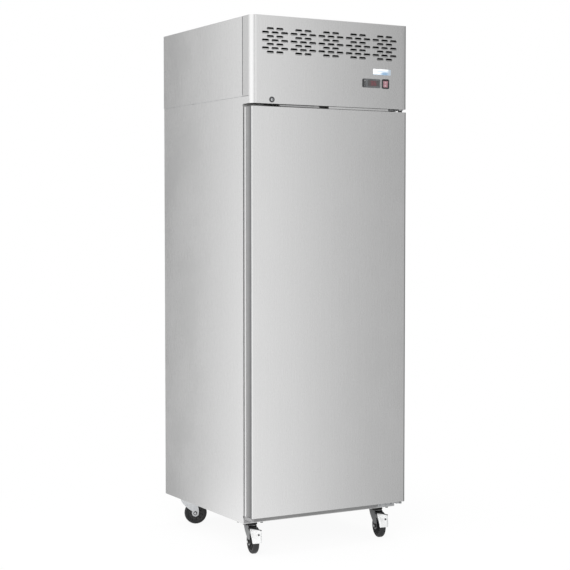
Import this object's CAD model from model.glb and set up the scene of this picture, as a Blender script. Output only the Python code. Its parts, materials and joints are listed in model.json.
"""Looks for a single-door reach-in refrigerator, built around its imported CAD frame."""
import json
import math

import bmesh
import bpy
from mathutils import Matrix, Vector


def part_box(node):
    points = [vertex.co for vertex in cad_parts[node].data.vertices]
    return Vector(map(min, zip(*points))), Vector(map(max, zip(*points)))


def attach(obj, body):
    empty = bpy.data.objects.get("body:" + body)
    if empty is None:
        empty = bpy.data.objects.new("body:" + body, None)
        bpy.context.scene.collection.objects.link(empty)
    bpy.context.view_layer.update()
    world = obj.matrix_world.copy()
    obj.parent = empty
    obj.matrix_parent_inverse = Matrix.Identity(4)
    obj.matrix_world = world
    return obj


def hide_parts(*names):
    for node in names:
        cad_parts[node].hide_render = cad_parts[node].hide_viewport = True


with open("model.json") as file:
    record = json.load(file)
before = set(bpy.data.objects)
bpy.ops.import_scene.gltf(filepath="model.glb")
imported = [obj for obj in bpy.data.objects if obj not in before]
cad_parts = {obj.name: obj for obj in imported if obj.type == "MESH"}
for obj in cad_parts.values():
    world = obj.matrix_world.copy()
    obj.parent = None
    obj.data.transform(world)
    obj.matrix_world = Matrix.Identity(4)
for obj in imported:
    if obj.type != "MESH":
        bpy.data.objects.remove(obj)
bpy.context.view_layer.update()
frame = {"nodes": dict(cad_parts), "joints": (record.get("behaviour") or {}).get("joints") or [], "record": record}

NODES = frame["nodes"]


# ---------------------------------------------------------------- node graphs

class Graph:
    """Node tree of a material or a world, with short calls for the nodes used here."""

    def __init__(self, owner, output="OutputMaterial"):
        owner.use_nodes = True
        self.owner, self.tree = owner, owner.node_tree
        self.tree.nodes.clear()
        self.out, self.coords = self.node(output), None

    def node(self, kind, **settings):
        """Adds a node and sets its properties."""
        node = self.tree.nodes.new("ShaderNode" + kind)
        for name, value in settings.items():
            setattr(node, name, value)
        return node

    def put(self, target, value):
        """Joins a socket to an input, or sets its plain value."""
        if isinstance(value, bpy.types.NodeSocket):
            self.tree.links.new(value, target)
        elif isinstance(value, tuple) and len(value) == 3 and len(target.default_value) == 4:
            target.default_value = (*value, 1.0)
        else:
            target.default_value = value

    def fill(self, node, *values, **named):
        """Sets a node's inputs, in order or by name with underscores for spaces."""
        for target, value in zip(node.inputs, values):
            self.put(target, value)
        for name, value in named.items():
            self.put(node.inputs[name.replace("_", " ")], value)
        return node

    def math(self, operation, a, b=0.0):
        return self.fill(self.node("Math", operation=operation), a, b).outputs[0]

    def times(self, a, b):
        return self.math("MULTIPLY", a, b)

    def dot(self, a, b):
        return self.fill(self.node("VectorMath", operation="DOT_PRODUCT"), a, b).outputs["Value"]

    def span(self, value, low, high, to_low=0.0, to_high=1.0, smooth=False):
        """Maps value from low..high to to_low..to_high, clamped."""
        node = self.node("MapRange", interpolation_type="SMOOTHSTEP" if smooth else "LINEAR")
        return self.fill(node, value, low, high, to_low, to_high).outputs["Result"]

    def axis(self, which, coords=None):
        """One of X, Y, Z of the coordinates."""
        return self.fill(self.node("SeparateXYZ"), coords or self.coords).outputs[which]

    def either(self, factor, a, b):
        """Mixes two shaders and returns the mix."""
        return self.fill(self.node("MixShader"), factor, a, b).outputs[0]

    def place(self):
        return self.node("NewGeometry").outputs["Position"]


class Surface(Graph):
    """Material with one main shader and object coordinates in metres."""

    def __init__(self, name):
        super().__init__(bpy.data.materials.new(name))
        self.bsdf = self.node("BsdfPrincipled")
        self.put(self.out.inputs["Surface"], self.bsdf.outputs["BSDF"])
        self.coords = self.node("TexCoord").outputs["Object"]

    def set(self, **inputs):
        """Sets inputs of the main shader and returns the material."""
        self.fill(self.bsdf, **inputs)
        return self.owner

    def stretch(self, scale):
        """Coordinates scaled by a number or by three."""
        scale = scale if isinstance(scale, tuple) else (scale,) * 3
        return self.fill(self.node("Mapping"), self.coords, Scale=scale).outputs["Vector"]

    def noise(self, scale, detail=3.0, roughness=0.55, distortion=0.0):
        node = self.fill(self.node("TexNoise"), self.stretch(scale), Scale=1.0, Detail=detail,
                         Roughness=roughness, Distortion=distortion)
        return node.outputs["Fac"]

    def cells(self, scale, output="Distance"):
        return self.fill(self.node("TexVoronoi"), self.stretch(scale), Scale=1.0).outputs[output]

    def blend(self, factor, a, b, mode="MIX"):
        node = self.node("Mix", data_type="RGBA", blend_type=mode)
        return self.fill(node, Factor=factor, A=a, B=b).outputs["Result"]

    def shaded(self, colour, shade):
        return self.blend(1.0, colour, shade, "MULTIPLY")

    def bump(self, height, distance, strength=1.0):
        node = self.fill(self.node("Bump"), Strength=strength, Distance=distance, Height=height)
        return node.outputs["Normal"]

    def edges(self, width):
        """1 on edges within width, 0 on open faces."""
        bevel = self.fill(self.node("Bevel", samples=4), width).outputs["Normal"]
        return self.span(self.dot(bevel, self.node("NewGeometry").outputs["Normal"]), 0.98, 0.80)

    def hollows(self, reach, darkest=0.15):
        """1 in the open, falling to darkest deep in gaps and corners."""
        node = self.fill(self.node("AmbientOcclusion", samples=6), Distance=reach)
        return self.span(node.outputs["AO"], 0.08, 0.62, darkest, 1.0)


# ---------------------------------------------------------------- materials

def brushed_steel(name, tone, rough, gap_reach=0.035, return_from=None):
    """Stainless sheet: fine upright lines, faint broad streaks, faint smudges.

    Side returns that start at return_from are a little darker than the front.
    """
    g = Surface(name)
    fine, broad = (g.noise((across, across, along), 2.0, 0.6)
                   for across, along in ((2600.0, 14.0), (90.0, 1.2)))
    smudge = g.noise(5.0, 4.0, 0.6)
    lines = g.math("ADD", g.span(fine, 0.3, 0.7, 0.98, 1.02), g.span(broad, 0.3, 0.7, -0.006, 0.006))
    shade = g.times(lines, g.hollows(gap_reach))
    if return_from:
        blur = 0.004
        shade = g.times(shade, g.span(g.axis("Y"), return_from - blur, return_from + blur, 1.0, 0.84))
    sheen = g.math("ADD", g.span(smudge, 0.35, 0.75, rough - 0.02, rough + 0.03),
                   g.span(fine, 0.3, 0.7, -0.03, 0.03))
    radial = g.node("Tangent", direction_type="RADIAL", axis="Z")
    return g.set(Base_Color=g.blend(g.edges(0.0012), g.shaded((tone,) * 3, shade), (tone * 1.15,) * 3),
                 Metallic=1.0, Roughness=sheen, Anisotropic=0.35, Tangent=radial.outputs[0],
                 Normal=g.bump(fine, 0.00002, 0.2))


def galvanised_steel(name):
    """Hot-dipped sheet: grey spangle with a soft, uneven sheen."""
    g = Surface(name)
    value = g.axis("X", g.cells(70.0, "Color"))
    cloud = g.noise(9.0, 4.0)
    sheen = g.math("ADD", g.span(value, 0, 1, 0.36, 0.48), g.span(cloud, 0.3, 0.7, 0, 0.08))
    return g.set(Base_Color=g.blend(value, (0.36, 0.37, 0.38), (0.52, 0.53, 0.54)), Metallic=0.9,
                 Roughness=sheen, Normal=g.bump(cloud, 0.0003, 0.2))


def zinc_plate(name, level=1.0):
    """Plated pressings: mottled grey, worn bright on the edges, dull in the hollows."""
    g = Surface(name)
    mottle = g.noise(160.0, 5.0, 0.65)
    drawn = g.noise((900.0, 900.0, 60.0), 2.0)
    dull, bright = (tuple(c * level for c in tone) for tone in ((0.40, 0.41, 0.42), (0.60, 0.61, 0.62)))
    base = g.blend(g.span(mottle, 0.35, 0.65), dull, bright)
    worn = g.blend(g.edges(0.0008), base, (0.82 * level,) * 3)
    return g.set(Base_Color=g.shaded(worn, g.hollows(0.012, 0.3)), Metallic=1.0,
                 Roughness=g.span(mottle, 0.3, 0.7, 0.24, 0.42), Normal=g.bump(drawn, 0.00004, 0.3))


def bright_plate(name):
    """Fresh bright plating: pale, softly mottled, worn at the edges."""
    g = Surface(name)
    mottle = g.noise(220.0, 4.0, 0.6)
    fine = g.noise(1200.0, 2.0)
    base = g.blend(g.span(mottle, 0.35, 0.65), (0.70, 0.71, 0.71), (0.80, 0.80, 0.80))
    return g.set(Base_Color=g.blend(g.edges(0.0006), base, (0.92, 0.92, 0.92)), Metallic=0.55,
                 Roughness=g.span(mottle, 0.3, 0.7, 0.24, 0.38), Normal=g.bump(fine, 0.00004, 0.4))


def oiled_steel(name):
    """Pressed steel in the swivel: nearly black with grease, brighter where it is rubbed."""
    g = Surface(name)
    grease = g.noise(90.0, 5.0, 0.65)
    rubbed = g.blend(g.span(grease, 0.45, 0.75), (0.030, 0.029, 0.028), (0.12, 0.12, 0.12))
    return g.set(Base_Color=rubbed, Metallic=0.6, Roughness=g.span(grease, 0.3, 0.7, 0.32, 0.55),
                 Normal=g.bump(grease, 0.0002, 0.3))


def enamel(name):
    """Satin black stoved enamel with orange peel and a little dust."""
    g = Surface(name)
    peel = g.noise(420.0, 2.0)
    dust = g.noise(26.0, 5.0, 0.7)
    dusty = g.blend(g.span(dust, 0.52, 0.8, 0, 0.5), (0.012, 0.012, 0.014), (0.07, 0.068, 0.065))
    return g.set(Base_Color=dusty, Roughness=g.span(dust, 0.3, 0.8, 0.28, 0.55), Coat_Weight=0.2,
                 Normal=g.bump(peel, 0.00025, 0.3))


def copper(name):
    """Drawn tube: warm, streaked along its length by heat and handling."""
    g = Surface(name)
    heat = g.noise(22.0, 5.0, 0.6, 0.6)
    fine = g.noise(700.0, 2.0)
    return g.set(Base_Color=g.blend(g.span(heat, 0.4, 0.7), (0.74, 0.36, 0.20), (0.33, 0.15, 0.09)),
                 Metallic=1.0, Roughness=g.span(heat, 0.3, 0.8, 0.22, 0.45),
                 Normal=g.bump(fine, 0.00003, 0.3))


def fin_aluminium(name):
    """Thin fins: bare metal, ripple-pressed and lightly dusted."""
    g = Surface(name)
    ripple = g.noise((40.0, 40.0, 700.0), 1.0)
    dust = g.noise(30.0, 4.0)
    return g.set(Base_Color=g.blend(g.span(dust, 0.4, 0.75), (0.66, 0.67, 0.68), (0.42, 0.42, 0.41)),
                 Metallic=0.9, Roughness=g.span(dust, 0.3, 0.7, 0.28, 0.5),
                 Normal=g.bump(ripple, 0.0004, 0.4))


def moulded(name, tone, rough=0.45, sheen=0.0, spread=0.18, gap_reach=0.004):
    """Moulded plastic: fine spark-eroded grain, slight flow shading and worn edges."""
    g = Surface(name)
    fine = g.noise(1500.0, 2.0)
    flow = g.noise(18.0)
    dark = tuple(c * (1 - spread) for c in tone)
    light = tuple(min(1.0, c * (1 + spread) + 0.004) for c in tone)
    edge = tuple(min(1.0, c * 1.5 + 0.01) for c in tone)
    worn = g.blend(g.edges(0.0006), g.blend(g.span(flow, 0.3, 0.7), dark, light), edge)
    return g.set(Base_Color=g.shaded(worn, g.hollows(gap_reach, 0.4)),
                 Roughness=g.span(flow, 0.25, 0.75, rough - 0.05, rough + 0.07),
                 Coat_Weight=sheen, Normal=g.bump(fine, 0.00006, 0.6))


def grip_moulding(name):
    """Grey plastic of the long grip, darker toward the hollow behind the door's front edge."""
    g = Surface(name)
    fine = g.noise(1500.0, 2.0)
    low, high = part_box("grip_profile")
    deep = g.span(g.axis("Y"), low[1] + 0.016, high[1] - 0.010, 0.40, 1.0)
    shade = g.times(deep, g.span(g.noise(18.0), 0.3, 0.7, 0.96, 1.04))
    return g.set(Base_Color=g.shaded((0.275, 0.275, 0.277), shade),
                 Roughness=g.span(fine, 0.3, 0.7, 0.46, 0.56), Normal=g.bump(fine, 0.00006, 0.6))


def filter_mesh(name):
    """Black open foam that swallows nearly all the light falling through the slots."""
    g = Surface(name)
    pores = g.cells(700.0)
    return g.set(Base_Color=g.blend(pores, (0.002, 0.002, 0.002), (0.006, 0.006, 0.006)),
                 Roughness=1.0, Specular_IOR_Level=0.02, Normal=g.bump(pores, 0.0006, 0.6))


def rubber(name, tone):
    """Matt rubber: pale bloom in patches, fine pitting and scuffs."""
    g = Surface(name)
    bloom = g.noise(55.0, 5.0, 0.65)
    pits = g.noise(900.0)
    scuffs = g.noise((60.0, 600.0, 600.0), 2.0)
    bloomed, scuffed = (tuple(c * k + 0.012 for c in tone) for k in (1.6, 2.2))
    body = g.blend(g.span(bloom, 0.45, 0.8, 0, 0.6), tone, bloomed)
    return g.set(Base_Color=g.blend(g.span(scuffs, 0.62, 0.75, 0, 0.4), body, scuffed),
                 Roughness=g.span(bloom, 0.3, 0.8, 0.52, 0.78), Normal=g.bump(pits, 0.00015, 0.4))


def foam(name):
    """Cut polyurethane foam: open cells, slightly yellowed."""
    g = Surface(name)
    tint = g.noise(14.0, 4.0)
    return g.set(Base_Color=g.blend(tint, (0.72, 0.62, 0.36), (0.80, 0.72, 0.50)), Roughness=0.9,
                 Subsurface_Weight=0.1, Normal=g.bump(g.cells(900.0), 0.0008, 0.7))


def coated_wire(name):
    """Plastic-coated wire: smooth pale grey with a wet-looking skin."""
    g = Surface(name)
    sag = g.noise(120.0, 2.0)
    return g.set(Base_Color=g.blend(g.span(sag, 0.3, 0.7), (0.62, 0.63, 0.63), (0.72, 0.73, 0.73)),
                 Roughness=g.span(sag, 0.3, 0.7, 0.18, 0.3), Coat_Weight=0.5,
                 Normal=g.bump(sag, 0.0004, 0.25))


def display_glass(name):
    """Smoked window of the temperature display: dark grey, reddish round its lit figures."""
    g = Surface(name)
    low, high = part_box("controller_lens")
    off = g.math("ABSOLUTE", g.math("SUBTRACT", g.axis("X"), (low[0] + high[0]) / 2))
    warm = g.span(off, 0.008, 0.022, 1.0, 0.0, smooth=True)
    return g.set(Base_Color=g.blend(warm, (0.058, 0.056, 0.055), (0.078, 0.044, 0.048)),
                 Roughness=g.span(g.noise(60.0), 0.3, 0.7, 0.08, 0.2), Coat_Weight=0.5)


def rocker_red(name):
    """Translucent dusky red rocker with a gloss skin."""
    g = Surface(name)
    cloud = g.noise(140.0, 2.0)
    return g.set(Base_Color=g.blend(cloud, (0.27, 0.12, 0.14), (0.38, 0.22, 0.25)),
                 Roughness=g.span(cloud, 0.3, 0.7, 0.2, 0.32), Coat_Weight=0.4,
                 Emission_Color=(0.9, 0.2, 0.25), Emission_Strength=0.015)


def lit_figures(name):
    """Lit plastic of the display's figures: unevenly bright, slightly hazy."""
    g = Surface(name)
    haze = g.noise(240.0, 2.0)
    colour, strength = (0.19, 0.05, 0.06), 0.09
    return g.set(Base_Color=g.blend(haze, colour, tuple(c * 0.7 for c in colour)), Roughness=0.35,
                 Emission_Color=colour,
                 Emission_Strength=g.span(haze, 0.3, 0.7, strength * 0.8, strength * 1.1))


def badge_print(name):
    """Plain printed plate: white with blue bands low on the right, no lettering."""
    g = Surface(name)
    low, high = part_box("badge_plate")
    u, v = (g.span(g.axis("XZ"[k]), low[2 * k], high[2 * k]) for k in (0, 1))
    lift = g.math("ADD", v, g.times(g.math("SINE", g.times(u, 7.0)), 0.06))
    band = g.times(g.span(lift, 0.48, 0.40), g.span(u, 0.30, 0.55))
    rule = g.times(g.span(g.math("ABSOLUTE", g.math("SUBTRACT", v, 0.60)), 0.09, 0.05),
                   g.span(u, 0.12, 0.35, 0.2, 0.75))
    foot = g.times(g.span(v, 0.10, 0.05), 0.8)
    blue = g.math("MAXIMUM", g.math("MAXIMUM", band, rule), foot)
    paint = g.blend(blue, (0.90, 0.93, 0.95), (0.24, 0.37, 0.52))
    return g.set(Base_Color=g.blend(g.span(u, 0.72, 0.95, smooth=True), paint, (0.36, 0.42, 0.48)),
                 Roughness=0.25, Coat_Weight=0.3, Normal=g.bump(g.noise(900.0, 2.0), 0.00003, 0.4))


FASCIA_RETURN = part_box("fascia_panel")[0][1] + 0.019
LOOKS = {
    "stainless_outer": (brushed_steel, 0.62, 0.27),
    "stainless_inner": (brushed_steel, 0.70, 0.34),
    "stainless_fascia": (brushed_steel, 0.62, 0.27, 0.012, FASCIA_RETURN),
    "open_steel": (brushed_steel, 0.60, 0.27, 0.002),
    "edge_steel": (brushed_steel, 0.27, 0.30, 0.002),
    "galvanised": (galvanised_steel,),
    "zinc_plate": (zinc_plate,),
    "greasy_plate": (zinc_plate, 0.38),
    "bright_plate": (bright_plate,),
    "oiled_steel": (oiled_steel,),
    "foam": (foam,),
    "black_enamel": (enamel,),
    "copper": (copper,),
    "fin_aluminium": (fin_aluminium,),
    "black_plastic": (moulded, (0.016, 0.016, 0.017), 0.42),
    "hub_plastic": (moulded, (0.022, 0.022, 0.023), 0.5),
    "grey_plastic": (moulded, (0.085, 0.088, 0.092), 0.38, 0.15),
    "trim_plastic": (moulded, (0.26, 0.26, 0.262), 0.5, 0.0, 0.04, 0.02),
    "grip_plastic": (grip_moulding,),
    "light_plastic": (moulded, (0.66, 0.66, 0.64), 0.42, 0.1, 0.05),
    "filter_mesh": (filter_mesh,),
    "black_rubber": (rubber, (0.010, 0.010, 0.011)),
    "gasket_grey": (rubber, (0.10, 0.10, 0.105)),
    "wire_coating": (coated_wire,),
    "display": (display_glass,),
    "figures": (lit_figures,),
    "rocker_red": (rocker_red,),
    "badge": (badge_print,),
}
MATERIALS = {name: make(name, *values) for name, (make, *values) in LOOKS.items()}


def dress_cad():
    """Gives every CAD node its slot's material; castor plates are greasy, the filter is black."""
    special = {"castor_plates": "greasy_plate", "air_filter": "filter_mesh"}
    for row in frame["record"]["subparts"]:
        mesh = NODES[row["node"]].data
        mesh.materials.clear()
        mesh.materials.append(MATERIALS[special.get(row["node"], row["material_slot"])])


dress_cad()


# ---------------------------------------------------------------- mesh building

MM = 0.001
SHARP = math.radians(38)


def joint(name):
    return next(j for j in frame["joints"] if j["name"] == name)


def pivot(name):
    return Vector(joint(name)["pos_m"])


def link_object(name, data):
    obj = bpy.data.objects.new(name, data)
    bpy.context.scene.collection.objects.link(obj)
    return obj


def add_piece(name, data, body, look, stands_for):
    """Puts a piece in the scene with its look, riding on a body in place of some CAD nodes."""
    data.materials.append(MATERIALS[look])
    piece = link_object(name, data)
    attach(piece, body)
    if stands_for:
        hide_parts(*stands_for)
    return piece


def solid(name, bm, body, look, place=None, bevel=0.0, subdivide=0, thick=0.0, stands_for=()):
    """Makes a piece from a bmesh in millimetres and lets it ride on a body."""
    bmesh.ops.remove_doubles(bm, verts=bm.verts, dist=0.001)
    bmesh.ops.recalc_face_normals(bm, faces=bm.faces)
    for face in bm.faces:
        face.smooth = True
    for edge in bm.edges:
        edge.smooth = edge.calc_face_angle(0.0) < SHARP
    mesh = bpy.data.meshes.new(name)
    bm.to_mesh(mesh)
    bm.free()
    mesh.transform((place or Matrix.Identity(4)) @ Matrix.Scale(MM, 4))
    piece = add_piece(name, mesh, body, look, stands_for)
    if thick:
        sheet = piece.modifiers.new("thickness", "SOLIDIFY")
        sheet.thickness = thick * MM
        sheet.offset = 0.0
    if subdivide:
        smooth = piece.modifiers.new("smooth", "SUBSURF")
        smooth.levels = smooth.render_levels = subdivide
    if bevel:
        edge = piece.modifiers.new("edges", "BEVEL")
        edge.width = bevel * MM
        edge.segments = 2
        edge.limit_method = "ANGLE"
        edge.harden_normals = True
    return piece


def turned(name, profile, steps, turn, body, look, **options):
    """Piece turned from one profile."""
    return solid(name, lathe(bmesh.new(), profile, steps, turn), body, look, **options)


def cut(name, outline, low, high, axes, turn, body, look, **options):
    """Piece cut from one outline."""
    return solid(name, plate(bmesh.new(), outline, low, high, axes, turn), body, look, **options)


def bar(name, centre, size, r, axes, body, look, bevel=0.0):
    """Piece made of one block."""
    return solid(name, block(bmesh.new(), centre, size, r, axes), body, look, bevel=bevel)


def cord(name, points, radius, body, look, stands_for=()):
    """Round cord or pipe through points in metres, bending smoothly between them."""
    data = bpy.data.curves.new(name, "CURVE")
    data.dimensions = "3D"
    data.bevel_depth = radius * MM
    data.bevel_resolution = 4
    data.resolution_u = 8
    data.use_fill_caps = True
    line = data.splines.new("NURBS")
    line.points.add(len(points) - 1)
    for knot, point in zip(line.points, points):
        knot.co = (*point, 1.0)
    line.order_u = 4
    line.use_endpoint_u = True
    return add_piece(name, data, body, look, stands_for)


def spread(count, low=0.0, high=1.0):
    """Evenly spaced values, both ends included."""
    return [low + (high - low) * i / (count - 1) for i in range(count)]


def arc(cx, cy, r, start, stop, steps=8):
    """Points along an arc, angles in degrees."""
    return [(cx + r * math.cos(math.radians(a)), cy + r * math.sin(math.radians(a)))
            for a in spread(steps + 1, start, stop)]


def at(x, y, z, turn=None):
    return Matrix.Translation((x, y, z)) @ (turn or Matrix.Identity(4))


def metres(points):
    return [Vector(p) * MM for p in points]


def node_box(name):
    """Centre and size of a CAD node, in millimetres."""
    low, high = (Vector(corner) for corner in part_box(name))
    return (low + high) / (2 * MM), (high - low) / MM


def sheet(bm, rows):
    """Joins rows of points into an open surface."""
    grid = [[bm.verts.new(point) for point in row] for row in rows]
    for lower, upper in zip(grid, grid[1:]):
        for i in range(len(lower) - 1):
            bm.faces.new([lower[i], lower[i + 1], upper[i + 1], upper[i]])
    return bm


def loft(bm, rings, closed=False):
    """Joins rings of points in turn: back to the first if closed, else with both ends capped."""
    loops = [[bm.verts.new(point) for point in ring] for ring in rings]
    if not closed:
        bm.faces.new(loops[0][::-1])
        bm.faces.new(loops[-1])
    for k in range(len(loops) if closed else len(loops) - 1):
        loop, after = loops[k], loops[(k + 1) % len(loops)]
        for i in range(len(loop)):
            j = (i + 1) % len(loop)
            bm.faces.new([loop[i], loop[j], after[j], after[i]])
    return bm


def lathe(bm, profile, steps=48, place=None):
    """Turns a closed profile of (radius, height) about the local Z axis."""
    place = place or Matrix.Identity(4)
    rings = []
    for k in range(steps):
        turn = 2 * math.pi * k / steps
        rings.append([bm.verts.new(place @ Vector((r * math.cos(turn), r * math.sin(turn), h)))
                      for r, h in profile])
    on_axis = [r < 1e-6 for r, h in profile]
    for k, ring in enumerate(rings):
        after = rings[(k + 1) % steps]
        for i in range(len(profile)):
            j = (i + 1) % len(profile)
            if on_axis[i] and on_axis[j]:
                continue
            corners = [ring[i], after[i], after[j], ring[j]]
            if on_axis[i]:
                corners = [ring[i], after[j], ring[j]]
            if on_axis[j]:
                corners = [ring[i], after[i], ring[j]]
            bm.faces.new(corners)
    return bm


def plate(bm, outline, low, high, axes="XYZ", place=None):
    """Extrudes an outline in the first two axes along the third, from low to high."""
    place = place or Matrix.Identity(4)
    order = [axes.index(a) for a in "XYZ"]
    return loft(bm, [[place @ Vector([(u, v, w)[i] for i in order]) for u, v in outline]
                     for w in (low, high)])


def rounded(w, h, r, steps=5):
    """Outline of a rectangle with round corners about the origin."""
    points = []
    for sx, sy, start in ((1, 1, 0), (-1, 1, 90), (-1, -1, 180), (1, -1, 270)):
        points += arc(sx * (w / 2 - r), sy * (h / 2 - r), r, start, start + 90, steps)
    return points


def block(bm, centre, size, r=2.0, axes="XYZ"):
    """Box with its upright edges rounded; axes names the outline's axes, then its depth."""
    (w, h, d), (u, v, mid) = ([triple["XYZ".index(a)] for a in axes] for triple in (size, centre))
    outline = [(u + x, v + y) for x, y in rounded(w, h, r)]
    return plate(bm, outline, mid - d / 2, mid + d / 2, axes)


def rim(bm, centre, w, h, r, profile, steps=5):
    """Closed moulding round a rectangle that faces -Y; profile holds (outward, depth) pairs."""
    return loft(bm, [[(centre[0] + x, centre[1] + depth, centre[2] + z)
                      for x, z in rounded(w + 2 * out, h + 2 * out, max(r + out, 0.2), steps)]
                     for out, depth in profile], closed=True)


def hex_nut(bm, r, low, high, place):
    """Hexagon nut or bolt head along the local Z axis."""
    return plate(bm, arc(0, 0, r, 0, 300, 5), low, high, "XYZ", place)


def bends(points, radius):
    """Adds the knots that round each corner of a path, in metres."""
    path = [Vector(points[0])]
    for before, corner, after in zip(points, points[1:], points[2:]):
        corner = Vector(corner)
        back, on = Vector(before) - corner, Vector(after) - corner
        reach = min(radius, back.length * 0.45, on.length * 0.45)
        back.normalize()
        on.normalize()
        path += [corner + back * reach * share for share in (1.6, 1.0, 0.45)]
        path.append(corner + (back + on) * reach * 0.12)
        path += [corner + on * reach * share for share in (0.45, 1.0, 1.6)]
    path.append(Vector(points[-1]))
    return path


def helix(centre, r, pitch, turns, per_turn=16):
    """Points of a coil about Z, in millimetres."""
    points = []
    for k in range(int(turns * per_turn) + 1):
        turn = 2 * math.pi * k / per_turn
        step = Vector((r * math.cos(turn), r * math.sin(turn), pitch * k / per_turn))
        points.append(Vector(centre) + step)
    return points


TO_X = Matrix.Rotation(math.pi / 2, 4, "Y")
TO_FRONT = Matrix.Rotation(math.pi / 2, 4, "X")
TO_BACK = Matrix.Rotation(-math.pi / 2, 4, "X")
TO_FLOOR = Matrix.Rotation(math.pi, 4, "X")


def screws(name, body, spots, turn, r=3.2):
    """Pan-head screws with a cross recess, one at each spot, facing along turn's Z axis."""
    heads, recesses = bmesh.new(), bmesh.new()
    crown = ((0, 0), (1, 0), (1, 0.18), (0.82, 0.46), (0.45, 0.62), (0, 0.66))
    dome = [(r * u, r * v) for u, v in crown]
    for spot in spots:
        place = at(*spot, turn)
        lathe(heads, dome, 20, place)
        for w, h in ((r * 0.9, r * 0.2), (r * 0.2, r * 0.9)):
            plate(recesses, rounded(w, h, 0.08, 1), r * 0.60, r * 0.68, "XYZ", place)
    solid(name, heads, body, "zinc_plate")
    solid(f"{name}_recesses", recesses, body, "black_enamel")


# ---------------------------------------------------------------- castors

CROWN_Z = 104.0
FORK_IN = 14.0
FORK_OUT = 17.0


def castor_frame(name):
    """The castor's own frame at rest: origin under the swivel, wheel trailing along -Y."""
    swivel, axle = pivot(f"{name}_swivel"), pivot(f"{name}_roll")
    trail = axle - swivel
    turn = math.atan2(trail.x, -trail.y)
    spot = at(swivel.x, swivel.y, 0.0, Matrix.Rotation(turn, 4, "Z"))
    return spot, math.hypot(trail.x, trail.y) / MM, axle.z / MM


def fork_outline(trail, axle_z):
    """Side of the fork in Y and Z: broad under the crown, a round boss at the axle."""
    boss_r = 14.5
    front = [(25.0 - 47.0 * t ** 1.7, CROWN_Z + 1.0 - (CROWN_Z - axle_z - 6.0) * t)
             for t in spread(9)]
    rear = [(-trail - boss_r + 20.5 * t ** 2.2, axle_z + 6.0 + (CROWN_Z - axle_z - 5.0) * t)
            for t in spread(9)]
    return front + arc(-trail, axle_z, boss_r, 0, -180, 12) + rear


def castor_fork(name):
    """Pressed fork with ribbed legs, its dark ball race, and the axle bolt with both nuts."""
    spot, trail, axle_z = castor_frame(name)
    body, axle = f"{name}_castor", at(0, -trail, axle_z, TO_X)
    outline = fork_outline(trail, axle_z)
    rib = [(y * 0.80 - 5.0, CROWN_Z - 8 + (z - CROWN_Z) * 0.62) for y, z in outline]
    bm = bmesh.new()
    for side in (-1, 1):
        plate(bm, outline, *sorted((side * FORK_IN, side * FORK_OUT)), "YZX")
        plate(bm, rib, *sorted((side * (FORK_OUT - 0.4), side * (FORK_OUT + 0.5))), "YZX")
    bridge = [(x, y - 1.0) for x, y in rounded(2 * FORK_OUT, 52.0, 5.0)]
    plate(bm, bridge, CROWN_Z - 1.5, CROWN_Z + 1.5)
    solid(f"{name}_fork_pressing", bm, body, "greasy_plate" if "front" in name else "zinc_plate",
          place=spot, bevel=0.5, stands_for=(f"{name}_fork",))
    cup = [(7.0, -1.0), (26.5, -1.0), (27.5, 0.5), (27.5, 3.0), (25.0, 4.5), (24.0, 8.5),
           (20.0, 10.0), (12.0, 10.0), (10.5, 3.0), (7.0, 3.0)]
    turned(f"{name}_ball_race", cup, 48, at(0, 0, CROWN_Z + 1.5), body, "oiled_steel",
           place=spot, bevel=0.3)
    end = FORK_OUT + 6
    turned(f"{name}_axle_bolt", [(0, -end), (4.8, -end), (4.8, end), (0, end)], 24, axle, body,
           "zinc_plate", place=spot, bevel=0.4)
    bm = bmesh.new()
    for low in (FORK_OUT, -FORK_OUT - 4.4):
        hex_nut(bm, 8.4, low, low + 4.4, axle)
    solid(f"{name}_axle_nuts", bm, body, "oiled_steel", place=spot, bevel=0.5)


def castor_wheel(name):
    """Rubber tyre on a ribbed plastic centre."""
    spot, trail, axle_z = castor_frame(name)
    body, axle = f"{name}_wheel", at(0, -trail, axle_z, TO_X)
    r, half, shoulder, web = axle_z, 12.5, 9.0, 3.0
    tread = ([(r - 12, -half + 2)] + arc(r - shoulder, shoulder - half, shoulder, -90, -8)
             + arc(r - shoulder, half - shoulder, shoulder, 8, 90) + [(r - 12, half - 2)])
    turned(f"{name}_tyre", tread, 72, axle, body, "black_rubber", place=spot, stands_for=(body,))
    face = [(5.1, half), (12.0, half), (13.0, half - 1), (13.5, web), (r - 14.5, web + 0.6),
            (r - 14.0, half - 2.5), (r - 11.9, half - 2.0)]
    bm = lathe(bmesh.new(), [(x, -z) for x, z in face] + face[::-1], 60, axle)
    for k in range(10):
        spoke = axle @ Matrix.Rotation(math.pi * k / 5, 4, "Z")
        plate(bm, [(12.0, -1.1), (r - 13.0, -1.1), (r - 13.0, 1.1), (12.0, 1.1)],
              -half + 3.4, half - 3.4, "XYZ", spoke)
    solid(f"{name}_hub", bm, body, "hub_plastic", place=spot, bevel=0.4)


def pedal_point(trail, axle_z, u, share):
    """Point of the brake pedal: u across from -1 to 1, share up from 0 to 1."""
    angle = math.radians(2.0 + (56.0 - 7.0 * u) * share)
    half = 17.5 + 3.5 * share ** 0.7
    bead = 0.9 * math.exp(-((abs(u) - 0.62) / 0.10) ** 2) * math.sin(math.pi * share)
    lip = 5.0 * max(0.0, share - 0.72) / 0.28 + 1.4 * max(0.0, 0.07 - share) / 0.07
    reach = axle_z + 3.6 + 7.0 * share ** 2 + bead + lip - 1.2 * abs(u) ** 6
    return Vector((u * half, -trail - reach * math.cos(angle), axle_z + reach * math.sin(angle)))


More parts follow.
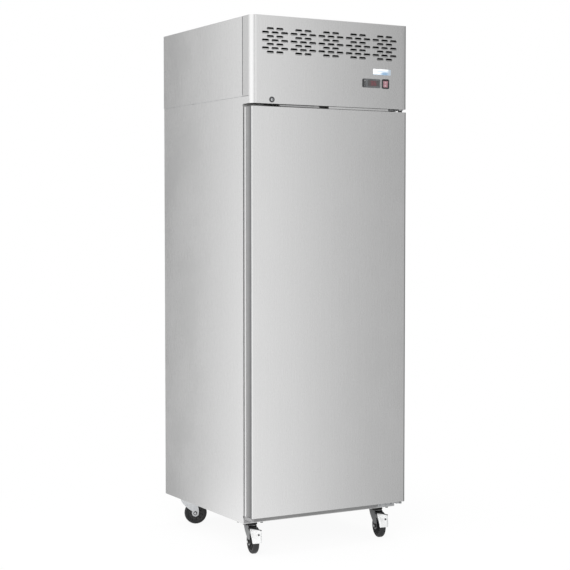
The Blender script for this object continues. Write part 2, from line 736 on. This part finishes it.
def brake_pedal(name):
    """Plated pedal before the wheel, with beads, a dark rolled lip, two ears, an arm and a screw."""
    spot, trail, axle_z = castor_frame(name)
    body = f"{name}_brake"

    def point(u, share):
        return pedal_point(trail, axle_z, u, share)

    tread = sheet(bmesh.new(), [[point(u, share) for u in spread(13, -1.0, 1.0)] for share in spread(17)])
    solid(f"{name}_pedal_tread", tread, body, "bright_plate", place=spot, subdivide=1, thick=1.8,
          stands_for=(f"{name}_pedal",))
    lip = [spot @ (point(u, 1.0) * MM) for u in spread(7, -1.02, 1.02)]
    cord(f"{name}_pedal_lip", lip, 2.0, body, "black_enamel")
    bm = bmesh.new()
    back = (spot.inverted() @ pivot(f"{name}_brake_lift")) / MM
    ear_in, ear_out = FORK_OUT + 0.6, FORK_OUT + 2.4
    for side in (-1, 1):
        edge = [point(side, share) for share in spread(6, 0.28, 0.80)]
        ear = (arc(back.y, back.z, 6.5, 95, -75) + [(back.y - 26, back.z - 12)]
               + [(p.y, p.z) for p in edge])
        plate(bm, ear, *sorted((side * ear_in, side * ear_out)), "YZX")
        boss = at(ear_out if side > 0 else -ear_out, back.y, back.z, TO_X)
        lathe(bm, [(0, -1.0), (4.2, -1.0), (4.2, 1.0), (3.2, 1.6), (0, 1.6)], 24, boss)
    solid(f"{name}_pedal_ears", bm, body, "greasy_plate", place=spot, bevel=0.35)
    arm = [(8.0, 102.5), (-34.0, 99.0), (-43.0, 90.0), (-43.0, 84.0), (-37.0, 84.0),
           (-30.0, 91.0), (8.0, 94.0)]
    cut(f"{name}_brake_arm", arm, -12.5, 12.5, "YZX", None, f"{name}_castor", "oiled_steel",
        place=spot, bevel=0.8)
    u, share, step = 0.45, 0.66, 0.02
    seat = point(u, share)
    out = (point(u + step, share) - seat).cross(point(u, share + step) - seat)
    seat = at(*seat, out.to_track_quat("Z", "Y").to_matrix().to_4x4())
    head = [(0, 1.2), (1.4, 1.2), (1.6, 2.1), (3.5, 2.1), (3.8, 1.4), (3.8, 0.2), (0, 0.2)]
    screw = turned(f"{name}_pedal_screw", head, 24, seat, body, "black_enamel", place=spot)


for castor in ("front_left", "front_right", "rear_left", "rear_right"):
    castor_fork(castor)
    castor_wheel(castor)
    if castor.startswith("front"):
        brake_pedal(castor)


# ---------------------------------------------------------------- controls on the fascia

CONTROL_RIM = [(-2.4, 0.4), (-2.2, -0.5), (-1.4, -1.1), (-0.4, -1.0), (0.3, -0.3), (0.3, 1.5),
               (-2.4, 1.5)]
LENS_RIM = [(-0.2, 0.2), (-0.1, -0.3), (0.5, -0.5), (1.1, -0.2), (1.2, 0.6), (-0.2, 0.6)]
SWITCH_RIM = [(-0.6, 0.9), (-0.5, -0.8), (0.4, -1.5), (3.2, -1.3), (4.4, -0.2), (4.4, 0.9)]
SEGMENTS = {"a": (0, 2, 1, 2), "b": (1, 2, 1, 1), "c": (1, 1, 1, 0), "d": (0, 0, 1, 0),
            "e": (0, 0, 0, 1), "f": (0, 1, 0, 2), "g": (0, 1, 1, 1)}


def digit(bm, x, y, z, w, h, marks):
    """One seven-segment figure, lower left corner at x and z, front at y."""
    half = 0.85
    for mark in marks:
        u0, v0, u1, v1 = SEGMENTS[mark]
        start, end = Vector((x + u0 * w, z + v0 * h / 2)), Vector((x + u1 * w, z + v1 * h / 2))
        on = (end - start).normalized()
        side = Vector((-on.y, on.x)) * half
        start, end, on = start + on * 0.3, end - on * 0.3, on * half
        outline = [start, start + on + side, end - on + side, end, end - on - side,
                   start + on - side]
        plate(bm, [(p.x, p.y) for p in outline], y - 0.3, y, "XZY")


def push_button(name, corners):
    """Button cap with a raised mark: a dot, or an arrow of three corners."""
    body = f"{name}_button"
    cap, size = node_box(f"button_{name}")
    low, high = cap.y - size.y / 2, cap.y + size.y / 2
    outline = [(cap.x + x, cap.z + z) for x, z in rounded(size.x, size.z, 1.2)]
    cut(f"{body}_cap", outline, low - 0.4, high, "XZY", None, body, "black_plastic", bevel=0.5,
        stands_for=(f"button_{name}",))
    flip = -1 if name == "down" else 1
    mark = [(cap.x + u, cap.z + flip * v) for u, v in arc(0, 0, 1.6, 90, 450, corners)[:-1]]
    cut(f"{body}_mark", mark, low - 0.55, low - 0.3, "XZY", None, body, "light_plastic")


def controller():
    """Rounded frame, window frame, lit figures and the three push buttons."""
    body, size = node_box("controller_body")
    lens, lens_size = node_box("controller_lens")
    front = body.y - size.y / 2
    bm = rim(bmesh.new(), (body.x, front, body.z), size.x, size.z, 3.0, CONTROL_RIM)
    rim(bm, (lens.x, front, lens.z), lens_size.x, lens_size.z, 2.0, LENS_RIM)
    solid("controller_rims", bm, "fascia", "grey_plastic")
    bar("controller_end_band", (body.x - size.x / 2 + 1.6, front - 0.5, body.z),
        (4.4, 1.6, size.z - 2.0), 1.8, "XZY", "fascia", "black_plastic", bevel=0.3)
    bm = bmesh.new()
    for left, marks in ((-11.0, "abcdg"), (2.5, "acdefg")):
        digit(bm, lens.x + left, lens.y - lens_size.y / 2, lens.z - 6.5, 8.0, 13.0, marks)
    solid("display_figures", bm, "fascia", "figures")
    for name, corners in (("set", 24), ("up", 3), ("down", 3)):
        push_button(name, corners)


def power_switch():
    """Dished rocker with its two marks, in a frame with a rounded rim."""
    bezel, size = node_box("switch_bezel")
    bm = rim(bmesh.new(), (bezel.x, bezel.y - size.y / 2, bezel.z), 24.0, 28.0, 1.5, SWITCH_RIM)
    solid("switch_rim", bm, "fascia", "black_plastic")
    tilt = Matrix.Rotation(math.radians(7.0), 4, "X")
    place = at(*(pivot("rocker_tip") / MM), tilt)
    dish = [(-5.9 - 1.6 * (z / 12.0) ** 2, z) for z in spread(13, 12.0, -12.0)]
    outline = [(8.0, -7.0), (8.0, 7.0), (-6.2, 12.4)] + dish + [(-6.2, -12.4)]
    bm = plate(bmesh.new(), outline, -11.0, 11.0, "YZX", place)
    lathe(bm, [(0, -13), (1.5, -13), (1.5, 13), (0, 13)], 20, place @ TO_X)
    solid("rocker_cap", bm, "power_rocker", "rocker_red", bevel=0.7, stands_for=("rocker",))
    stroke = [(x, z + 6.3) for x, z in rounded(1.2, 6.0, 0.5)]
    bm = plate(bmesh.new(), stroke, -6.75, -6.3, "XZY", place)
    ring = [(2.1, -0.3), (2.9, -0.3), (2.9, 0.3), (2.1, 0.3)]
    lathe(bm, ring, 32, place @ at(0, -6.5, -6.3, TO_FRONT))
    solid("rocker_marks", bm, "power_rocker", "light_plastic")


def lock():
    """Turned ring round the key plug, and the plug's slotted face."""
    body, size = node_box("lock_body")
    face = at(body.x, body.y - size.y / 2, body.z, TO_FRONT)
    ring = [(5.8, -1.4), (5.8, 0.6), (6.5, 1.1), (8.8, 1.2), (10.4, 0.4), (10.8, -1.4)]
    cap = [(0, -1.0), (5.6, -1.0), (5.6, 0.7), (4.9, 1.2), (0, 1.2)]
    turned("lock_ring", ring, 48, face, "fascia", "black_enamel")
    turned("lock_plug_face", cap, 40, face, "lock_plug", "zinc_plate")
    cut("lock_key_slot", rounded(2.0, 7.6, 0.9), 1.0, 1.3, "XYZ", face, "lock_plug", "black_enamel")


controller()
power_switch()
lock()


# ---------------------------------------------------------------- door seal

BELLOWS = [(0.0, 0.0), (-0.3, 1.1), (-2.6, 2.1), (-2.6, 2.7), (-0.5, 3.5), (-2.6, 4.4),
           (-2.6, 5.0), (-0.4, 5.8), (0.0, 6.4), (0.0, 7.9), (-0.9, 8.7), (-8.0, 8.7),
           (-9.0, 8.3), (-10.0, 8.7), (-17.1, 8.7), (-18.0, 7.9), (-18.0, 6.5), (-15.0, 5.4),
           (-16.6, 4.3), (-14.8, 3.1), (-16.9, 1.9), (-18.0, 0.0)]


def door_seal():
    """Magnetic bellows gasket with its pleats, all round the door."""
    seal, size = node_box("door_gasket")
    bm = rim(bmesh.new(), (seal.x, seal.y - size.y / 2, seal.z), size.x, size.z, 6.0, BELLOWS, 3)
    solid("gasket_bellows", bm, "door", "gasket_grey", stands_for=("door_gasket",))


door_seal()


# ---------------------------------------------------------------- cooling unit

COMPRESSOR, COMPRESSOR_SIZE = node_box("compressor")
COMPRESSOR_X = COMPRESSOR.x - 17.0
DECK_Z = COMPRESSOR.z - COMPRESSOR_SIZE.z / 2
SHELL_R = 82.0


def compressor():
    """Welded shell with its seam, base, rubber mounts and terminal cover."""
    r, axis = SHELL_R, at(COMPRESSOR_X, COMPRESSOR.y, DECK_Z)

    def bowl(angles, power, level, rise):
        turns = [math.radians(a) for a in angles]
        return [(r * math.cos(a) ** power, level + rise * math.sin(a)) for a in turns]

    seam = [(r, 84.5), (r + 2.6, 84.5), (r + 3.4, 86.5), (r + 2.6, 88.5), (r, 88.5)]
    outline = ([(0, 14.0)] + bowl(spread(7, 76, 0), 0.7, 44, -26) + seam
               + bowl(spread(10, 0, 84), 0.6, 118, 56) + [(0, 174.0)])
    turned("compressor_shell", outline, 72, axis, "cabinet", "black_enamel",
           stands_for=("compressor",))
    cut("compressor_base", rounded(190.0, 140.0, 14.0), 11.0, 14.0, "XYZ", axis, "cabinet",
        "black_enamel", bevel=0.6)
    mount = [(4.0, 0.2), (12.0, 0.2), (12.0, 9.0), (9.0, 10.0), (9.0, 15.0), (12.0, 16.0),
             (12.0, 20.0), (4.0, 20.0)]
    washer = [(0, 19.0), (8.0, 19.0), (8.0, 20.6), (0, 20.6)]
    mounts, bolts = bmesh.new(), bmesh.new()
    for x in (-82.0, 82.0):
        for y in (-57.0, 57.0):
            foot = axis @ at(x, y, 0)
            lathe(mounts, mount, 32, foot)
            lathe(bolts, washer, 32, foot)
            hex_nut(bolts, 6.0, 20.6, 25.0, foot)
    solid("compressor_mounts", mounts, "cabinet", "black_rubber")
    solid("compressor_bolts", bolts, "cabinet", "zinc_plate", bevel=0.3)
    bm = block(bmesh.new(), (r + 11.0, 0, 95.0), (46.0, 76.0, 70.0), 6.0, "YZX")
    bm.transform(axis)
    solid("compressor_terminal_cover", bm, "cabinet", "black_plastic", bevel=1.5)


def pipework():
    """Bent copper lines with a filter drier, a capillary coil and an insulated suction line."""
    fins, fin_size = node_box("condenser_fins")
    row = fin_size.z / 6
    low_z, top_z = fins.z - 2.5 * row, fins.z + 2.5 * row
    near_y, far_y = fins.y - fin_size.y / 4, fins.y + fin_size.y / 4
    start_x = fins.x - fin_size.x / 2 - 13.0
    gas_x, liquid_x = start_x - 26.0, start_x - 38.0
    gas_in, suction_x = COMPRESSOR_X - 20, COMPRESSOR_X + 20
    gas_z, liquid_z, suction_z = DECK_Z + 60, DECK_Z + 20, DECK_Z + 50
    gas_y, back_y, end_x = 60, 310, 30

    def line(name, points, bend, radius, look="copper", **options):
        cord(name, bends(metres(points), bend), radius, "cabinet", look, **options)

    line("gas_line", [(start_x, far_y, top_z), (gas_x, far_y, top_z), (gas_x, gas_y, top_z),
                      (gas_x, gas_y, gas_z), (gas_in, gas_y, gas_z),
                      (gas_in, COMPRESSOR.y - SHELL_R, gas_z)],
         0.018, 3.5, stands_for=("refrigerant_pipes",))
    line("liquid_line", [(start_x, near_y, low_z), (liquid_x, near_y, low_z), (liquid_x, 130, low_z),
                         (liquid_x, 130, liquid_z), (liquid_x, 152, liquid_z)], 0.014, 3.0)
    half = [(0, 0), (3.2, 0), (3.8, 4), (9.0, 14), (9.4, 18)]
    drier = half + [(x, 120 - y) for x, y in half[::-1]]
    turned("filter_drier", drier, 32, at(liquid_x, 150, liquid_z, TO_BACK), "cabinet", "copper")
    line("capillary_line", [(liquid_x, 268, liquid_z), (liquid_x, 330, liquid_z), (0, 330, liquid_z),
                            (0, 330, DECK_Z + 1)], 0.016, 1.6)
    wound = helix((-30.0, 300.0, DECK_Z + 14), 20.0, 3.6, 5.0)
    cord("capillary_coil", metres(wound), 1.4, "cabinet", "copper")
    line("suction_line", [(suction_x, COMPRESSOR.y + SHELL_R, suction_z), (suction_x, back_y, suction_z),
                          (end_x, back_y, suction_z), (end_x, back_y, DECK_Z + 1)], 0.02, 4.2)
    line("suction_insulation", [(COMPRESSOR_X + 70, back_y, suction_z), (end_x, back_y, suction_z),
                                (end_x, back_y, DECK_Z + 2)], 0.02, 10.0, "black_rubber")


def blades(name, turn, count, hub_r, pitch):
    """Fan wheel with swept, twisted blades on a moulded hub."""
    node = f"{name}_blade"
    wheel, size = node_box(node)
    r = max(size) / 2 - 0.5
    place = at(*wheel, turn)

    def blade_point(k, share, u):
        radius = hub_r - 1.5 + (r - hub_r + 1.5) * share
        half = (0.62 - 0.10 * share) * math.pi / count * 1.35
        turned_to = 2 * math.pi * k / count + 0.55 * share ** 1.4 + u * half
        lift = -u * pitch * (1.0 - 0.45 * share) + 1.6 * (1 - u * u)
        edge = radius * (1.0 - 0.05 * share * u * u)
        return place @ Vector((edge * math.cos(turned_to), edge * math.sin(turned_to), lift))

    bm = bmesh.new()
    for k in range(count):
        sheet(bm, [[blade_point(k, share, u) for u in spread(9, -1.0, 1.0)] for share in spread(9)])
    solid(f"{name}_blades", bm, name, "black_plastic", thick=1.6, subdivide=1, stands_for=(node,))
    bore = 4.05
    hub = [(bore, -7.0), (hub_r - 2, -7.0), (hub_r, -5.0), (hub_r, 6.0), (hub_r - 2.5, 8.0),
           (12.0, 8.6), (10.0, 7.0), (bore, 7.0)]
    turned(f"{name}_hub", hub, 48, place, name, "black_plastic")


def power_lead():
    """Coiled supply cord with a ribbed strain relief and a three-pin plug."""
    lead, size = node_box("power_cord")
    centre = (lead.x - 8.5, lead.y + size.y / 2 - 74.0, lead.z - size.z / 2 + 4.2)
    turns = helix(centre, 70.0, 8.8, 2.0, 24)
    end = turns[-1]
    tail = [end + Vector(step) for step in ((0.6, -14, 0.4), (0.3, -26, 0.2), (0, -44, 0))]
    cord("power_cord_coil", metres(turns + tail), 4.0, "cabinet", "black_rubber",
         stands_for=("power_cord",))
    nose = at(end.x, end.y - 40, end.z, TO_FRONT)
    rings = [(5.2 + 1.2 * (k % 2) + 0.12 * k, -6 + 1.5 * k) for k in range(13)]
    turned("cord_strain_relief", [(0, -6)] + rings + [(0, 12.0)], 28, nose, "cabinet",
           "black_rubber")
    steps = ((0.0, 14.0, 14.0), (8.0, 26.0, 22.0), (14.0, 33.0, 28.0), (30.0, 34.0, 30.0),
             (34.0, 32.0, 28.0))
    plug = loft(bmesh.new(), [[nose @ Vector((x, z, 9.0 + on)) for x, z in rounded(w, h, 5.0, 4)]
                              for on, w, h in steps])
    solid("cord_plug", plug, "cabinet", "black_rubber")
    bm = bmesh.new()
    for x, z in ((-6.4, -3.5), (6.4, -3.5), (0, 5.5)):
        block(bm, (end.x + x, end.y - 90, end.z + z), (1.6, 16.0, 6.2), 0.5, "XZY")
    solid("cord_plug_pins", bm, "cabinet", "bright_plate")


def wiring():
    """Cables between the control box, the compressor, the fan and the fascia."""
    box, size = node_box("control_box")
    motor = node_box("condenser_fan_motor")[0]
    front_y, deck = box.y - size.y / 2, box.z - size.z / 2
    gland_z = deck + 40.0
    runs = {
        "compressor_cable": [(180, front_y + 2, gland_z), (180, front_y - 30, gland_z),
                             (150, front_y - 40, deck + 12), (0, front_y + 20, deck + 8),
                             (-40, COMPRESSOR.y, deck + 12), (-60, COMPRESSOR.y, deck + 60),
                             (COMPRESSOR.x + COMPRESSOR_SIZE.x / 2 - 4, COMPRESSOR.y, deck + 80)],
        "fan_cable": [(230, front_y + 2, gland_z), (228, front_y - 40, gland_z),
                      (150, front_y - 60, deck + 10), (20, front_y - 50, deck + 8),
                      (motor.x + 30, motor.y + 30, deck + 40),
                      (motor.x + 10, motor.y + 34, motor.z - 20)],
        "control_cable": [(280, front_y + 2, gland_z), (282, front_y - 30, gland_z),
                          (296, front_y - 60, deck + 12), (305, -150, deck + 8),
                          (306, -280, deck + 12), (280, -300, deck + 14)],
    }
    for name, points in runs.items():
        cord(name, metres(points), 3.2, "cabinet", "black_rubber")


compressor()
pipework()
blades("condenser_fan", TO_BACK, 5, 30.0, 13.0)
blades("evaporator_fan", Matrix.Identity(4), 5, 24.0, 10.0)
power_lead()
wiring()


# ---------------------------------------------------------------- fixings and small fittings

SLOT_LENGTH, SLOT_HEIGHT, SLOT_EDGE = 28.0, 7.0, 1.0
SLOT_GROUPS, SLOT_PITCH = 5, 120.5
SLOT_ROWS, SLOT_ROW_PITCH = 7, 14.3
FASCIA_CORNER_R = 22.0


def slot_edges():
    """Dark punched edge round each air slot: rows of two and of three in every group."""
    panel, size = node_box("fascia_panel")
    top_row = node_box("air_filter")[0].z + SLOT_ROW_PITCH * (SLOT_ROWS - 1) / 2
    edge = [(-0.1, -0.12), (SLOT_EDGE, -0.12), (SLOT_EDGE, 0.3), (-0.1, 0.3)]
    bm = bmesh.new()
    for row in range(SLOT_ROWS):
        count = 2 + row % 2
        for group in range(SLOT_GROUPS):
            middle = (group - (SLOT_GROUPS - 1) / 2) * SLOT_PITCH
            for k in range(count):
                x = panel.x + middle + (k - (count - 1) / 2) * SLOT_PITCH / 3
                spot = (x, panel.y - size.y / 2, top_row - row * SLOT_ROW_PITCH)
                rim(bm, spot, SLOT_LENGTH, SLOT_HEIGHT, SLOT_HEIGHT / 2, edge, 4)
    solid("slot_edges", bm, "fascia", "filter_mesh")


def front_trims():
    """Bars in the gap over the door, breaker strip below it, and the grip's flange and cap."""
    door, size = node_box("door_skin")
    rail, rail_size = node_box("front_frame")
    left, front = door.x - size.x / 2, door.y - size.y / 2
    top, low, run = door.z + size.z / 2, door.z - size.z / 2, size.z - 1.0
    face, foot = rail.y - rail_size.y / 2, rail.z - rail_size.z / 2
    bar("closer_bar", (door.x + 125.0, front + 9.0, top + 5.7), (268.0, 12.0, 8.8), 1.2, "YZX",
        "cabinet", "open_steel", bevel=0.4)
    bar("gap_filler", (door.x - 134.0, front + 11.0, top + 5.8), (170.0, 10.0, 7.0), 1.2, "YZX",
        "cabinet", "trim_plastic", bevel=0.4)
    bar("breaker_strip", (door.x - 40.0, face - 0.5, foot + 17.0), (594.0, 1.0, 32.0), 0.4, "YZX",
        "cabinet", "trim_plastic", bevel=0.2)
    bar("strike_lip", (left + 0.6, face - 1.9, door.z), (1.0, 3.6, size.z), 0.3, "XYZ",
        "cabinet", "open_steel")
    bar("grip_flange", (left + 0.45, front + size.y - 8.0, door.z), (0.7, 14.0, run), 0.3, "XYZ",
        "door", "open_steel")
    bar("grip_end_cap", (left + 7.2, front + 35.0, low - 6.6), (13.0, 52.0, 13.0), 2.0, "XYZ",
        "door", "trim_plastic", bevel=0.8)
    bar("grip_edge_bead", (left - 0.1, front + 6.2, door.z), (0.6, 5.8, run), 0.25, "XYZ",
        "door", "grey_plastic")


def edge_trims():
    """Square right corner of the fascia, folded right edges, and the seams behind the fascia."""
    panel, size = node_box("fascia_panel")
    door, door_size = node_box("door_skin")
    right, front = panel.x + size.x / 2, panel.y - size.y / 2
    low, top = panel.z - size.z / 2, panel.z + size.z / 2
    r, fold = FASCIA_CORNER_R, 1.5
    inner = arc(right - r, front + r, r - 0.3, 0, -90, 12)
    outer = [(right - r, front)] + arc(right - fold, front + fold, fold, -90, 0, 4)
    cut("fascia_corner", outer + inner, low, top, "XYZ", None, "fascia", "stainless_fascia")
    for body, centre, extent in (("fascia", panel, size), ("door", door, door_size)):
        x, y = centre.x + extent.x / 2 - 3.4, centre.y - extent.y / 2 + 3.2
        bar(f"{body}_right_edge", (x, y, centre.z), (7.2, 7.0, extent.z - 0.6), 2.0, "XYZ",
            body, "edge_steel")
    bm = bmesh.new()
    for side in (-1, 1):
        spot = (panel.x + side * (size.x / 2 - 0.3), panel.y + size.y / 2 + 2.0, (low + 30 + top) / 2)
        block(bm, spot, (1.0, 3.6, size.z - 34.0), 0.3)
    solid("fascia_side_seals", bm, "cabinet", "black_rubber")


def panel_screws():
    """Screws round the rear machine panel and under the evaporator cover."""
    rear, size = node_box("machine_rear_panel")
    edge_x, edge_z = size.x / 2 - 12.0, size.z / 2 - 10.0
    places = [(u, v) for u in (-1, 0, 1) for v in (-1, 1)] + [(-1, 0), (1, 0)]
    spots = [(rear.x + u * edge_x, rear.y + size.y / 2, rear.z + v * edge_z) for u, v in places]
    screws("rear_panel_screws", "cabinet", spots, TO_BACK)
    cover, size = node_box("evaporator_cover")
    spots = [(cover.x + u * (size.x / 2 - 16), cover.y + v * (size.y / 2 - 16),
              cover.z - size.z / 2) for u in (-1, 1) for v in (-1, 1)]
    screws("evaporator_cover_screws", "cabinet", spots, TO_FLOOR, 3.6)


def probe():
    """Air temperature probe on its lead, clipped under the evaporator cover."""
    cover, size = node_box("evaporator_cover")
    low = cover.z - size.z / 2
    x, y = cover.x + size.x / 2 - 40.0, cover.y - size.y / 2 + 60.0
    lead = [(x, y + 60, low + 2), (x, y + 55, low - 6), (x, y + 20, low - 8), (x, y, low - 9)]
    cord("probe_lead", metres(lead), 1.6, "cabinet", "black_rubber")
    turned("probe_tip", [(0, 0), (3.0, 0), (3.0, 22), (2.2, 25), (0, 26)], 24,
           at(x, y + 2, low - 9, TO_FRONT), "cabinet", "bright_plate")
    bar("probe_clip", (x, y + 20, low - 5.5), (9.0, 8.0, 11.0), 1.5, "XYZ", "cabinet",
        "light_plastic", bevel=0.6)


slot_edges()
front_trims()
edge_trims()
panel_screws()
probe()


# ---------------------------------------------------------------- studio

CAMERA_AT = (-2.8102, -4.9673, 1.2598)
CAMERA_YAW = math.radians(29.64)
CAMERA_PITCH = math.radians(2.658)

# Directions on the floor: across is square to the line of sight mirrored in the door's front
ACROSS = (math.cos(CAMERA_YAW), math.sin(CAMERA_YAW), 0.0)
AWAY = (math.sin(CAMERA_YAW), -math.cos(CAMERA_YAW), 0.0)
WINDOW = (-0.966, -0.259, 0.0)

# Grey levels of the mirrored room, by distance across in metres
DOOR_LIGHT = ((-1.4, 1.20), (-0.75, 1.18), (-0.45, 1.08), (-0.15, 0.78), (0.15, 0.58),
              (0.7, 0.55), (1.6, 0.7))
SIDE_LIGHT = ((-1.6, 1.35), (-0.8, 1.33), (-0.5, 1.27), (-0.3, 0.96), (-0.05, 0.47),
              (0.5, 0.42), (1.6, 0.7))
LOW_GAIN = 1.09


def ramp(graph, stops):
    """Smooth ramp of grey levels across the mirrored room through (distance, level) pairs."""
    low, high = stops[0][0], stops[-1][0]
    node = graph.node("FloatCurve")
    graph.fill(node, Value=graph.span(graph.dot(graph.place(), ACROSS), low, high))
    curve = node.mapping.curves[0]
    points = [((x - low) / (high - low), level / 2) for x, level in stops]
    curve.points[0].location = points[0]
    curve.points[1].location = points[-1]
    for point in points[1:-1]:
        curve.points.new(*point)
    node.mapping.update()
    return graph.times(node.outputs["Value"], 2.0)


def one_face(name, corners, material):
    """Object with a single face of four corners."""
    mesh = bpy.data.meshes.new(name)
    mesh.from_pydata(corners, [], [(0, 1, 2, 3)])
    mesh.materials.append(material)
    return link_object(name, mesh)


def light_card(name, out, reach, stops):
    """Upright card, seen only in reflections: grades from side to side, brighter near the floor."""
    g = Graph(bpy.data.materials.new(name))
    gain = g.span(g.axis("Z", g.place()), 0.1, 1.9, LOW_GAIN, 1.0)
    glow = g.fill(g.node("Emission"), Strength=g.times(ramp(g, stops), gain))
    g.put(g.out.inputs["Surface"], glow.outputs[0])
    centre, half, top = Vector(AWAY) * out, Vector(ACROSS) * reach, Vector((0, 0, 3.2))
    corners = [centre - half, centre + half, centre + half + top, centre - half + top]
    card = one_face(name, corners, g.owner)
    card.visible_camera = card.visible_shadow = card.visible_diffuse = False


def make_floor():
    """Pale floor that clears to white away from the object; steel mirrors it as a lit room."""
    g = Surface("floor")
    g.set(Base_Color=g.blend(g.noise(3.0, 4.0), (0.90, 0.90, 0.90), (0.93, 0.93, 0.93)),
          Roughness=0.7, Specular_IOR_Level=0.1)
    distance = g.fill(g.node("VectorMath", operation="LENGTH"), g.place()).outputs["Value"]
    clear = g.either(g.span(distance, 0.6, 1.5, 0.92, 1.0, smooth=True), g.bsdf.outputs[0],
                     g.node("Emission").outputs[0])
    front = g.span(g.dot(g.place(), AWAY), -0.2, 0.2)
    level = g.blend(front, ramp(g, SIDE_LIGHT), ramp(g, DOOR_LIGHT))
    mirrored = g.fill(g.node("Emission"), level, LOW_GAIN).outputs[0]
    glossy = g.node("LightPath").outputs["Is Glossy Ray"]
    g.put(g.out.inputs["Surface"], g.either(glossy, clear, mirrored))
    size = 30.0
    corners = [(-size, -size, 0), (size, -size, 0), (size, size, 0), (-size, size, 0)]
    one_face("floor", corners, g.owner)


def area_light(name, location, target, size, power):
    data = bpy.data.lights.new(name, "AREA")
    data.shape = "RECTANGLE"
    data.size, data.size_y = size
    data.energy = power
    lamp = link_object(name, data)
    lamp.location = location
    lamp.rotation_euler = (Vector(target) - Vector(location)).to_track_quat("-Z", "Y").to_euler()
    lamp.visible_glossy = False


def make_world():
    """White behind the object; a bright room, strongest on the left, in its reflections."""
    world = bpy.data.worlds.new("studio")
    bpy.context.scene.world = world
    g = Graph(world, "OutputWorld")
    toward = g.dot(g.node("TexCoord").outputs["Generated"], WINDOW)
    white, lit = (1.0, 1.0, 1.0), g.span(toward, 0.55, 0.86, 0.62, 1.58, smooth=True)
    room = g.fill(g.node("Background"), Color=white, Strength=lit).outputs[0]
    seen = g.fill(g.node("Background"), Color=white).outputs[0]
    camera_ray = g.node("LightPath").outputs["Is Camera Ray"]
    g.put(g.out.inputs["Surface"], g.either(camera_ray, room, seen))


def make_camera():
    """Camera at the photograph's viewing angle."""
    data = bpy.data.cameras.new("camera")
    data.lens = 89.76
    data.sensor_width = 36.0
    camera = link_object("camera", data)
    camera.location = CAMERA_AT
    camera.rotation_euler = (math.pi / 2 - CAMERA_PITCH, 0, -CAMERA_YAW)
    bpy.context.scene.camera = camera


make_world()
make_floor()
make_camera()
light_card("card_front_right", 2.0, 2.4, DOOR_LIGHT)
light_card("card_rear_left", -2.0, 1.6, SIDE_LIGHT)
area_light("key", (-3.4, -4.6, 3.4), (0, 0, 1.0), (3.0, 3.0), 200)
area_light("top", (0, 0, 5.0), (0, 0, 0), (5.0, 5.0), 120)
bpy.context.scene.view_settings.view_transform = "Standard"
